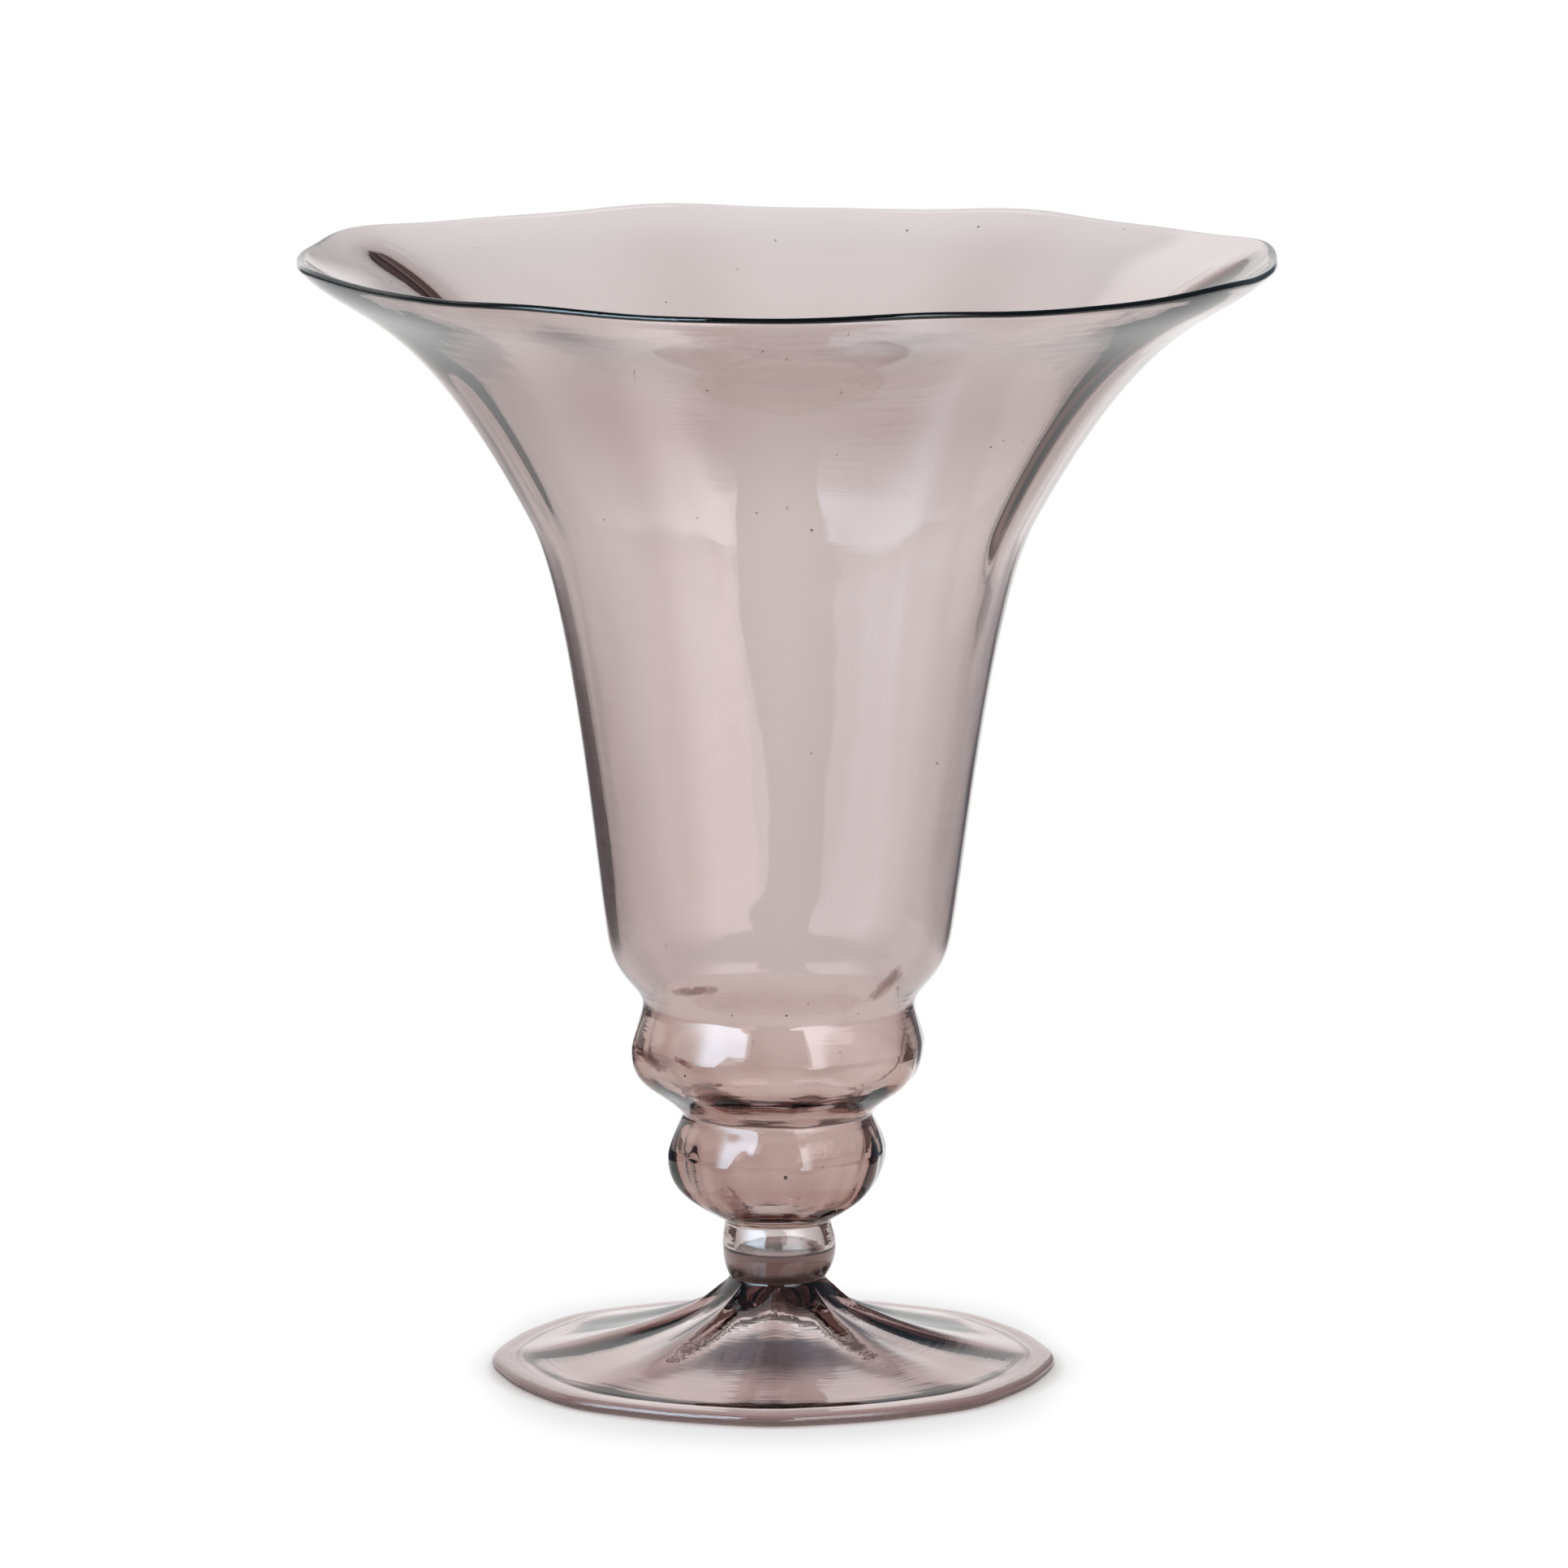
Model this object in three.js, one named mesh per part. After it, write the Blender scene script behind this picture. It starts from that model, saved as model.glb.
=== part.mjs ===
// A bell-shaped footed vase in blown glass: a flared bell, two hollow knops, a neck bead
// that closes the bubble and a ribbed foot, joined face to face at their waists.
// Millimetres, +Z up. The origin is the middle of the overall box, on the plane
// that the foot rests on, with -Y towards the viewer.
import * as THREE from 'three';

// Heights of the pieces, which stand on each other
const FOOT_HEIGHT = 25;
const BEAD_HEIGHT = 15.4;
const LOWER_KNOP_HEIGHT = 29.2;
const UPPER_KNOP_HEIGHT = 29.9;
const BELL_HEIGHT = 200.5;

// Outer radii from the foot up
const FOOT_RADIUS = 74.9;
const COLLAR_RADIUS = 12.8;
const BEAD_RADIUS = 15.1;
const BEAD_TOP_RADIUS = 14.1;
const LOWER_KNOP_RADIUS = 29.1;
const KNOP_WAIST_RADIUS = 25.2;
const UPPER_KNOP_RADIUS = 39.2;
const BELL_WAIST_RADIUS = 36.2;
const SHOULDER_RADIUS = 46;
const THROAT_RADIUS = 68;
const RIM_RADIUS = 131.4;

// How far the wall leans out at the rim, in degrees
const RIM_TILT = 45;

// Heights of those radii above the bottom of their own piece
const BEAD_BULGE_HEIGHT = 8.5;
const LOWER_KNOP_BULGE_HEIGHT = 18.7;
const UPPER_KNOP_BULGE_HEIGHT = 18.9;
const SHOULDER_HEIGHT = 18.5;
const THROAT_HEIGHT = 131.5;

// Glass thickness
const RIM_WALL = 1.9;
const WAIST_WALL = 2.8;
const BEAD_FLOOR = 6.5;
const FOOT_LIP = 3.5;

// Foot: the ring that it stands on, the step inside the ring and the hollow under it
const REST_RING_WIDTH = 8;
const RING_STEP = 1.8;
const HOLLOW_HEIGHT = 12.5;

// How far the wall's curves pull away from the places above, out and up
const BELL_WAIST_PULL = [1.5, 6];
const SHOULDER_PULL_DOWN = [-2.1, -11.2];
const SHOULDER_PULL_UP = [3.2, 16.6];
const THROAT_PULL_DOWN = [-12.1, -22.1];
const THROAT_PULL_UP = [32.2, 58.7];
const RIM_PULL = 20.3;
const KNOP_WAIST_PULL = [6.9, 8.3];
const UPPER_BULGE_PULL_DOWN = [0, -11.6];
const UPPER_BULGE_PULL_UP = [0, 2.1];
const UPPER_TOP_PULL = [1, -2];
const BEAD_TOP_PULL = [6.7, 4.1];
const LOWER_BULGE_PULL_DOWN = [0, -10.8];
const LOWER_BULGE_PULL_UP = [0, 2.3];
const LOWER_TOP_PULL = [2.7, -3.5];
const COLLAR_PULL_UP = [1.3, 1.6];
const BEAD_BULGE_PULL_DOWN = [0, -4];
const BEAD_BULGE_PULL_UP = [0, 3.5];
const BEAD_NECK_PULL = [0.3, -1.4];
const BEAD_BOWL_PULL = [0.8, -4];
const BEAD_FLOOR_PULL = [8.5, 0];
const FOOT_EDGE_PULL = [-23.6, 1.8];
const COLLAR_PULL_DOWN = [5.7, -16.5];
const HOLLOW_PULL = [20, 0];
const RING_PULL = [-16, 1.6];

// Ribs left by the mould, as a swing each way from round
const RIBS = 8;
const RIB_TURN = 15;
const RIM_RIB = 1.3;
const RIM_WAVE = 0.6;
const KNOP_RIB = 0.9;
const FOOT_LOBE = 0.9;
const FOOT_RIB = 0.45;

// Hand-made unevenness: an oval and a three-sided rim, a lean, and a bubble that is off centre
const RIM_OVAL = 2;
const OVAL_TURN = -56;
const RIM_TRIANGLE = 2;
const TRIANGLE_TURN = 29;
const LEAN_RIGHT = 3.2;
const LEAN_BACK = 2;
const BUBBLE_SHIFT = 0.55;

// Flat sides in a full turn, six for each rib, and straight runs in each curve and in a half round
const SIDES = 6 * RIBS;
const CURVE_STEPS = 8;
const LIP_STEPS = 4;

// Planes where the pieces meet
const beadBottom = FOOT_HEIGHT;
const lowerBottom = beadBottom + BEAD_HEIGHT;
const upperBottom = lowerBottom + LOWER_KNOP_HEIGHT;
const bellBottom = upperBottom + UPPER_KNOP_HEIGHT;
const top = bellBottom + BELL_HEIGHT;
const bubbleBottom = beadBottom + BEAD_FLOOR;

const glass = {
  bell_bowl: 0xcbb7b3,
  upper_knop: 0xb79e98,
  lower_knop: 0xa98c85,
  neck_bead: 0xa38a83,
  foot: 0xa1877f,
};

function point(radius, height) {
  return new THREE.Vector2(radius, height);
}

// Points on a cubic curve. Each pull is the handle's reach (out, up) from its own end.
function bend(from, fromPull, to, toPull) {
  const first = point(from.x + fromPull[0], from.y + fromPull[1]);
  const second = point(to.x + toPull[0], to.y + toPull[1]);
  return new THREE.CubicBezierCurve(from, first, second, to).getPoints(CURVE_STEPS);
}

// Joins runs of points, each of which starts where the last one ended.
function chain(...runs) {
  return runs.flatMap((run, index) => (index ? run.slice(1) : run));
}

// Points between the ends of a half round about middle, which starts at turn and goes anticlockwise.
function halfRound(middle, radius, start) {
  return Array.from({ length: LIP_STEPS - 1 }, (_, index) => {
    const turn = start + ((index + 1) * Math.PI) / LIP_STEPS;
    return point(middle.x + radius * Math.cos(turn), middle.y + radius * Math.sin(turn));
  });
}

// The inner side of a wall: each point moved square to the run. An end that meets another
// piece stays on its plane.
function inside(run, meets) {
  return run.map((spot, index) => {
    const wall = wallAt(spot.y);
    if (meets.includes(index)) return point(spot.x - wall, spot.y);
    const next = run[Math.min(index + 1, run.length - 1)];
    const along = next.clone().sub(run[index - 1]).normalize();
    return point(spot.x - wall * along.y, spot.y + wall * along.x);
  });
}

// How far up the bell a height lies, from 0 to 1
function bellShare(height) {
  return THREE.MathUtils.clamp((height - bellBottom) / BELL_HEIGHT, 0, 1);
}

function wallAt(height) {
  return THREE.MathUtils.lerp(WAIST_WALL, RIM_WALL, bellShare(height));
}

function wave(count, turn, angle) {
  return Math.cos(count * (angle - THREE.MathUtils.degToRad(turn)));
}

// Turns a closed outline about Z, then swings each point with the ribs and leans the whole.
// swing(spot, index, angle) gives how far a point moves out and up; shift is the bubble's.
function blow(outline, swing, shift = () => 0) {
  const turned = new THREE.LatheGeometry(outline, SIDES);
  const places = turned.attributes.position;
  for (let i = 0; i < places.count; i += 1) {
    const index = i % outline.length;
    const spot = outline[index];
    const angle = (Math.floor(i / outline.length) * 2 * Math.PI) / SIDES;
    const [out, up] = swing(spot, index, angle);
    const radius = spot.x + out;
    const height = spot.y + up;
    const rise = spot.y / top;
    const x = radius * Math.cos(angle) + shift(spot, index) + LEAN_RIGHT * (rise - 1);
    const y = radius * Math.sin(angle) + LEAN_BACK * rise;
    places.setXYZ(i, x, y, height);
  }
  return turned;
}

// The bubble inside lies off centre, most at half its height.
function bubbleShift(height) {
  return BUBBLE_SHIFT * Math.sin((Math.PI * (height - bubbleBottom)) / (top - bubbleBottom));
}

function bellBowl() {
  const waist = point(BELL_WAIST_RADIUS, bellBottom);
  const shoulder = point(SHOULDER_RADIUS, bellBottom + SHOULDER_HEIGHT);
  const throat = point(THROAT_RADIUS, bellBottom + THROAT_HEIGHT);
  const lipRadius = RIM_WALL / 2;
  const tilt = THREE.MathUtils.degToRad(RIM_TILT);
  const lipMiddle = point(RIM_RADIUS - lipRadius * Math.cos(tilt), top - lipRadius);
  const rim = point(RIM_RADIUS, top - lipRadius * (1 + Math.sin(tilt)));
  const rimPull = [-RIM_PULL * Math.sin(tilt), -RIM_PULL * Math.cos(tilt)];
  const outer = chain(
    bend(waist, BELL_WAIST_PULL, shoulder, SHOULDER_PULL_DOWN),
    bend(shoulder, SHOULDER_PULL_UP, throat, THROAT_PULL_DOWN),
    bend(throat, THROAT_PULL_UP, rim, rimPull),
  );
  const inner = inside(outer, [0]).reverse();
  const lip = halfRound(lipMiddle, lipRadius, -tilt);
  const outline = [...outer, ...lip, ...inner, outer[0]];
  const innerStart = outer.length + lip.length;
  const swing = (spot, index, angle) => {
    const share = bellShare(spot.y);
    const flare = share ** 4;
    const ribbed = wave(RIBS, RIB_TURN, angle);
    const oval = RIM_OVAL * wave(2, OVAL_TURN, angle);
    const threeSided = RIM_TRIANGLE * wave(3, TRIANGLE_TURN, angle);
    return [RIM_RIB * share * ribbed + flare * (oval + threeSided), RIM_WAVE * flare * ribbed];
  };
  const shift = (spot, index) => {
    const isInner = index >= innerStart && index < outline.length - 1;
    return isInner ? bubbleShift(spot.y) : 0;
  };
  return blow(outline, swing, shift);
}

// The ribs of a knop are strongest at its bulge and end at its two waists.
function knopSwing(bottom, height) {
  return (spot, index, angle) => {
    const share = THREE.MathUtils.clamp((spot.y - bottom) / height, 0, 1);
    const near = Math.min(spot.x / KNOP_WAIST_RADIUS, 1);
    return [KNOP_RIB * near * Math.sin(Math.PI * share) * wave(RIBS, RIB_TURN, angle), 0];
  };
}

// A hollow knop, open at both ends, from the outer side of its wall
function blowKnop(outer, bottom, height) {
  const inner = inside(outer, [0, outer.length - 1]).reverse();
  const outline = [...outer, ...inner, outer[0]];
  const shift = (spot, index) => {
    const isInner = index >= outer.length && index < outline.length - 1;
    return isInner ? bubbleShift(spot.y) : 0;
  };
  return blow(outline, knopSwing(bottom, height), shift);
}

function upperKnop() {
  const low = point(KNOP_WAIST_RADIUS, upperBottom);
  const bulge = point(UPPER_KNOP_RADIUS, upperBottom + UPPER_KNOP_BULGE_HEIGHT);
  const high = point(BELL_WAIST_RADIUS, bellBottom);
  const outer = chain(
    bend(low, KNOP_WAIST_PULL, bulge, UPPER_BULGE_PULL_DOWN),
    bend(bulge, UPPER_BULGE_PULL_UP, high, UPPER_TOP_PULL),
  );
  return blowKnop(outer, upperBottom, UPPER_KNOP_HEIGHT);
}

function lowerKnop() {
  const low = point(BEAD_TOP_RADIUS, lowerBottom);
  const bulge = point(LOWER_KNOP_RADIUS, lowerBottom + LOWER_KNOP_BULGE_HEIGHT);
  const high = point(KNOP_WAIST_RADIUS, upperBottom);
  const outer = chain(
    bend(low, BEAD_TOP_PULL, bulge, LOWER_BULGE_PULL_DOWN),
    bend(bulge, LOWER_BULGE_PULL_UP, high, LOWER_TOP_PULL),
  );
  return blowKnop(outer, lowerBottom, LOWER_KNOP_HEIGHT);
}

function neckBead() {
  const low = point(COLLAR_RADIUS, beadBottom);
  const bulge = point(BEAD_RADIUS, beadBottom + BEAD_BULGE_HEIGHT);
  const high = point(BEAD_TOP_RADIUS, lowerBottom);
  const outer = chain(
    bend(low, COLLAR_PULL_UP, bulge, BEAD_BULGE_PULL_DOWN),
    bend(bulge, BEAD_BULGE_PULL_UP, high, BEAD_NECK_PULL),
  );
  const brim = point(BEAD_TOP_RADIUS - wallAt(lowerBottom), lowerBottom);
  const bowl = bend(brim, BEAD_BOWL_PULL, point(0, bubbleBottom), BEAD_FLOOR_PULL);
  const outline = [point(0, beadBottom), ...outer, ...bowl];
  const shift = (spot, index) => (index > outer.length ? bubbleShift(spot.y) : 0);
  return blow(outline, () => [0, 0], shift);
}

function foot() {
  const lipRadius = FOOT_LIP / 2;
  const lipMiddle = point(FOOT_RADIUS - lipRadius, lipRadius);
  const lipBottom = point(lipMiddle.x, 0);
  const lipTop = point(lipMiddle.x, FOOT_LIP);
  const collar = point(COLLAR_RADIUS, FOOT_HEIGHT);
  const upper = bend(lipTop, FOOT_EDGE_PULL, collar, COLLAR_PULL_DOWN);
  const lip = [lipBottom, ...halfRound(lipMiddle, lipRadius, -Math.PI / 2)];
  const ringEdge = point(lipBottom.x - REST_RING_WIDTH, 0);
  const step = point(ringEdge.x - RING_STEP, RING_STEP);
  const under = bend(point(0, HOLLOW_HEIGHT), HOLLOW_PULL, step, RING_PULL);
  const upperStart = under.length + 1 + lip.length;
  const outline = [...under, ringEdge, ...lip, ...upper, point(0, FOOT_HEIGHT)];
  const swing = (spot, index, angle) => {
    const lobed = FOOT_LOBE * (spot.x / FOOT_RADIUS) ** 3 * wave(RIBS, 0, angle);
    const span = (spot.x - COLLAR_RADIUS) / (lipTop.x - COLLAR_RADIUS);
    const ridged = index >= upperStart && span > 0;
    const rib = ridged ? FOOT_RIB * Math.sin(Math.PI * Math.min(span, 1)) : 0;
    return [spot.x > COLLAR_RADIUS ? lobed : 0, rib * wave(RIBS, 0, angle)];
  };
  return blow(outline, swing);
}

function piece(name, geometry) {
  const material = new THREE.MeshStandardMaterial({
    color: glass[name],
    roughness: 0.05,
    metalness: 0,
    transparent: true,
    opacity: 0.5,
  });
  const mesh = new THREE.Mesh(geometry, material);
  mesh.name = name;
  return mesh;
}

const vase = new THREE.Group();
vase.add(
  piece('foot', foot()),
  piece('neck_bead', neckBead()),
  piece('lower_knop', lowerKnop()),
  piece('upper_knop', upperKnop()),
  piece('bell_bowl', bellBowl()),
);

export default vase;
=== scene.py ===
# A bell-shaped footed vase in thin smoky rose glass. The five blown pieces stand for the packed
# solids: each is one closed wall of glass, and they are fused where they meet.
import math
import random

import bmesh
import bpy
from mathutils import Matrix, Vector, noise
from mathutils.geometry import interpolate_bezier


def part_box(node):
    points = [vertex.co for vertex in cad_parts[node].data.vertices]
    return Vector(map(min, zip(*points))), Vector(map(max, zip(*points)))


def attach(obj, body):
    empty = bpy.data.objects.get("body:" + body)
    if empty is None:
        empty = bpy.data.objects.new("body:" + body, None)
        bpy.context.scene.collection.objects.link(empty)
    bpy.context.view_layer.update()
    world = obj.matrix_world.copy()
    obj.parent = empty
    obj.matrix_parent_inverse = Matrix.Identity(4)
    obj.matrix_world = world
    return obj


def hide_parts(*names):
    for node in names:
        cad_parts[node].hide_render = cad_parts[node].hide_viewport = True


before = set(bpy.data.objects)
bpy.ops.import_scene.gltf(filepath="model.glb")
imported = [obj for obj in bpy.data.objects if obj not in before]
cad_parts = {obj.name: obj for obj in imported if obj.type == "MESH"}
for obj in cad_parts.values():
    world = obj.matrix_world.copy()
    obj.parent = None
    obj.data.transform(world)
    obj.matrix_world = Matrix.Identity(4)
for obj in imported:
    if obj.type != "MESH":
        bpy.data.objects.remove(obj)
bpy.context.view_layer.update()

MM = 0.001
TURN_STEPS = 256

# Planes where the pieces meet, in millimetres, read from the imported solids
BEAD_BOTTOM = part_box("foot")[1].z / MM
LOWER_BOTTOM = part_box("neck_bead")[1].z / MM
UPPER_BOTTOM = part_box("lower_knop")[1].z / MM
BELL_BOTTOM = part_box("upper_knop")[1].z / MM
BELL_HEIGHT = 200.5
TOP = BELL_BOTTOM + BELL_HEIGHT

# Outer radii of the pieces, and the round edge of the foot
RIM_RADIUS = 131.4
THROAT = (68.0, BELL_BOTTOM + 131.5)
SHOULDER = (46.0, BELL_BOTTOM + 18.5)
UPPER_BULGE = (39.2, UPPER_BOTTOM + 18.9)
LOWER_BULGE = (29.1, LOWER_BOTTOM + 18.7)
BEAD_BULGE = (15.1, BEAD_BOTTOM + 8.5)
FOOT_RADIUS = 74.9
FOOT_LIP = 1.75

# What the foot rests on, and the hollow under it
RING_WIDTH = 3.6
RING_STEP = 1.8
HOLLOW_HEIGHT = 24.2

# Radii at the joints, before hot glass fills the grooves by the next lengths
COLLAR_RADIUS = 12.6
BEAD_TOP_RADIUS = 13.7
KNOP_WAIST_RADIUS = 24.7
BELL_WAIST_RADIUS = 35.6
COLLAR_FILL = 0.25
BEAD_FILL = 0.5
KNOP_FILL = 0.8
BELL_FILL = 0.9

# Glass thickness, and what gathers at the waists and in the flare
WAIST_WALL = 2.65
RIM_WALL = 1.9
BEAD_FLOOR = 6.5
FLARE_EXTRA = 1.1
BELL_WAIST_EXTRA = 0.1
KNOP_WAIST_EXTRA = 0.9
LOWER_KNOP_EXTRA = 1.4
BEAD_TOP_EXTRA = 0.9

# Eight ribs left by the mould
RIBS = 8
RIB_TURN = math.radians(15)

# Folds in the flare: degrees round from the right, depth, and where each starts and ends as a
# share of the bell's height
FOLDS = (
    (-30, 1.6, 0.58, 0.99),
    (150, 1.35, 0.76, 1.0),
    (205, 0.6, 0.6, 0.9),
    (15, 0.8, 0.76, 1.0),
)

# The gather leans and its bubble lies off centre
LEAN_RIGHT = 3.2
LEAN_BACK = 2.0
BEAD_ASIDE = 0.9
BUBBLE_SHIFT = 0.12

# Half the gap kept at a fused joint, so that no two faces lie in one plane
JOINT_GAP = 0.01

# Finer steps on the first and last runs of a curve that ends at a waist
FINE = 5
FINE_RUNS = 4


def clamp(value, low=0.0, high=1.0):
    return max(low, min(high, value))


def ease(value, low, high):
    share = clamp((value - low) / (high - low))
    return share * share * (3 - 2 * share)


def hump(value, middle, width):
    return math.exp(-(((value - middle) / width) ** 2))


def bend(start, start_pull, end, end_pull, steps, fine=""):
    """Points (radius, height) on a cubic curve; each pull is the handle's reach from its own end.
    The steps are finer at the start, at the end, or at both."""
    first, last = Vector((*start, 0)), Vector((*end, 0))
    places = interpolate_bezier(
        first,
        first + Vector((*start_pull, 0)),
        last + Vector((*end_pull, 0)),
        last,
        steps * FINE + 1,
    )
    edge = FINE_RUNS * FINE
    return [
        (place.x, place.y)
        for i, place in enumerate(places)
        if i % FINE == 0
        or ("start" in fine and i < edge)
        or ("end" in fine and i > steps * FINE - edge)
    ]


def chain(*runs):
    """Joins runs of points, each of which starts where the last one ended."""
    points = list(runs[0])
    for run in runs[1:]:
        points += run[1:]
    return points


def fill_groove(run, plane, slope, fill):
    """Rounds the groove at a waist, so that the outline crosses the plane square on."""
    points = []
    for radius, height in run:
        reach = abs(height - plane) * slope / fill
        points.append((radius + fill * (math.hypot(reach, 1) - reach), height))
    return points


def inside(run, level_ends):
    """The inner side of a wall: each point moved square to the run, level at a fused end."""
    points = []
    for i, (radius, height) in enumerate(run):
        thick = wall_at(height)
        if i in level_ends:
            points.append((radius - thick, height))
            continue
        before, after = run[max(i - 1, 0)], run[min(i + 1, len(run) - 1)]
        along = Vector((after[0] - before[0], after[1] - before[1])).normalized()
        points.append((radius - thick * along.y, height + thick * along.x))
    return points


def bell_share(height):
    return clamp((height - BELL_BOTTOM) / BELL_HEIGHT)


def wall_at(height):
    share = bell_share(height)
    wall = WAIST_WALL + (RIM_WALL - WAIST_WALL) * share
    wall += FLARE_EXTRA * ease(share, 0.65, 0.86) * (1 - ease(share, 0.82, 1.0))
    wall += BELL_WAIST_EXTRA * hump(height, BELL_BOTTOM, 4)
    wall += KNOP_WAIST_EXTRA * hump(height, UPPER_BOTTOM + 1.5, 3.5)
    wall += LOWER_KNOP_EXTRA * hump(height, LOWER_BOTTOM + 13, 9)
    return wall + BEAD_TOP_EXTRA * hump(height, LOWER_BOTTOM, 3)


def rib_crest(angle, sharpness, turn=RIB_TURN):
    """1 on each rib and 0 midway between two; the higher the sharpness, the narrower the rib."""
    return (0.5 + 0.5 * math.cos(RIBS * (angle - turn))) ** sharpness


def fold_crest(angle, share):
    """Narrow folds that stand on a few of the ribs where the bell flares."""
    total = 0.0
    for turn, depth, start, end in FOLDS:
        aside = (angle - math.radians(turn) + math.pi) % math.tau - math.pi
        along = ease(share, start, start + 0.15) * (1 - ease(share, end - 0.04, end))
        total += depth * along * hump(aside, 0, 0.06)
    return total


def rib_corner(angle, turn=RIB_TURN):
    """The eight-cornered swing of a ribbed wall, with rounded corners and flat sides."""
    swing = RIBS * (angle - turn)
    return 0.8 * math.cos(swing) + 0.25 * math.cos(2 * swing)


def unevenness(angle, height, size, seed):
    """Slow thick and thin places of blown glass, drawn out along its height."""
    place = Vector((math.cos(angle) * size, math.sin(angle) * size, height / 90 + seed))
    return noise.noise(place)


def ripple(radius, height, angle, size):
    """Small waves on the skin of the glass, about as long as size."""
    place = Vector((radius * math.cos(angle), radius * math.sin(angle), height * 0.7))
    return noise.noise(place / size) + 0.5 * noise.noise(place * 2.1 / size)


def lean_right(height):
    """The axis leans, and the bead stands a little to the right of it."""
    lean = LEAN_RIGHT * (height / TOP - 1)
    return lean + BEAD_ASIDE * hump(height, BEAD_BOTTOM + 7, 9) - 0.4 * (1 - ease(height, 4, 20))


def bubble_shift(height):
    bottom = BEAD_BOTTOM + BEAD_FLOOR
    swing = math.sin(math.pi * clamp((height - bottom) / (TOP - bottom)))
    return BUBBLE_SHIFT * swing + 0.4 * hump(height, UPPER_BOTTOM, 20)


def blow(outline, closed, form):
    """Turns an outline of (radius, height, inner) about Z, then moves each point as form says:
    out from the axis, up, and square to the outline."""
    wall = bmesh.new()
    layers = [wall.verts.layers.float.new(label) for label in ("inner", "look_out", "look_up")]
    ring = []
    last = len(outline) - 1
    for i, (radius, height, inner) in enumerate(outline):
        before = outline[i - 1] if closed or i > 0 else outline[0]
        after = outline[(i + 1) % len(outline)] if closed else outline[min(i + 1, last)]
        along = Vector((after[0] - before[0], after[1] - before[1])).normalized()
        spot = wall.verts.new((radius, 0, height))
        for layer, value in zip(layers, (inner, along.y, -along.x)):
            spot[layer] = value
        ring.append(spot)
    links = [wall.edges.new(pair) for pair in zip(ring, ring[1:])]
    if closed:
        links.append(wall.edges.new((ring[-1], ring[0])))
    bmesh.ops.spin(
        wall,
        geom=ring + links,
        cent=(0, 0, 0),
        axis=(0, 0, 1),
        dvec=(0, 0, 0),
        angle=math.tau,
        steps=TURN_STEPS,
        use_merge=True,
        use_duplicate=False,
    )
    bmesh.ops.remove_doubles(wall, verts=wall.verts[:], dist=0.002)
    bmesh.ops.recalc_face_normals(wall, faces=wall.faces[:])
    for spot in wall.verts:
        radius = math.hypot(spot.co.x, spot.co.y)
        angle = math.atan2(spot.co.y, spot.co.x)
        height = spot.co.z
        inner, look_out, look_up = (spot[layer] for layer in layers)
        out, up, swell = form(radius, height, angle, inner)
        reach = radius + out + swell * look_out if radius > 0.01 else 0.0
        aside = bubble_shift(height) * inner + lean_right(height)
        spot.co = Vector(
            (
                reach * math.cos(angle) + aside,
                reach * math.sin(angle) + LEAN_BACK * height / TOP,
                height + up + swell * look_up,
            )
        )
    return wall


def fuse(wall, plane, above):
    """Marks the flat faces at a joint and draws them back a little from the plane."""
    joint = wall.faces.layers.float.get("joint") or wall.faces.layers.float.new("joint")
    for face in wall.faces:
        if all(abs(spot.co.z - plane) < 0.004 for spot in face.verts):
            face[joint] = 1.0
    for spot in wall.verts:
        if abs(spot.co.z - plane) < 0.004:
            spot.co.z = plane + (JOINT_GAP if above else -JOINT_GAP)


def add_seeds(wall, count, largest, depth, seed):
    """Small round bubbles caught in the glass, each a closed void whose faces point into it."""
    draw = random.Random(seed)
    layer = wall.verts.layers.float["inner"]
    wall.normal_update()
    skin = [spot for spot in wall.verts if spot[layer] == 0 and spot.normal.length > 0.5]
    places = []
    for spot in draw.sample(skin, count):
        radius = largest * (0.35 + 0.65 * draw.random() ** 2)
        places.append((spot.co - spot.normal * depth * (0.9 + 0.2 * draw.random()), radius))
    for place, radius in places:
        made = bmesh.ops.create_icosphere(wall, subdivisions=2, radius=radius)
        shape = Matrix.Translation(place) @ Matrix.Diagonal((1, 1, 1 + draw.random(), 1))
        bmesh.ops.transform(wall, matrix=shape, verts=made["verts"])
        faces = list({face for spot in made["verts"] for face in spot.link_faces})
        bmesh.ops.reverse_faces(wall, faces=faces)


def finish_piece(name, wall, node, material):
    joint = wall.faces.layers.float["joint"]
    for face in wall.faces:
        face.smooth = face[joint] < 0.5
    for edge in wall.edges:
        edge.smooth = len({face.smooth for face in edge.link_faces}) == 1
    bmesh.ops.scale(wall, vec=(MM, MM, MM), verts=wall.verts[:])
    mesh = bpy.data.meshes.new(name)
    wall.to_mesh(mesh)
    wall.free()
    mesh.materials.append(material)
    piece = bpy.data.objects.new(name, mesh)
    bpy.context.scene.collection.objects.link(piece)
    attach(piece, "root")
    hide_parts(node)
    return piece


# Shapes of the five pieces


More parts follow.
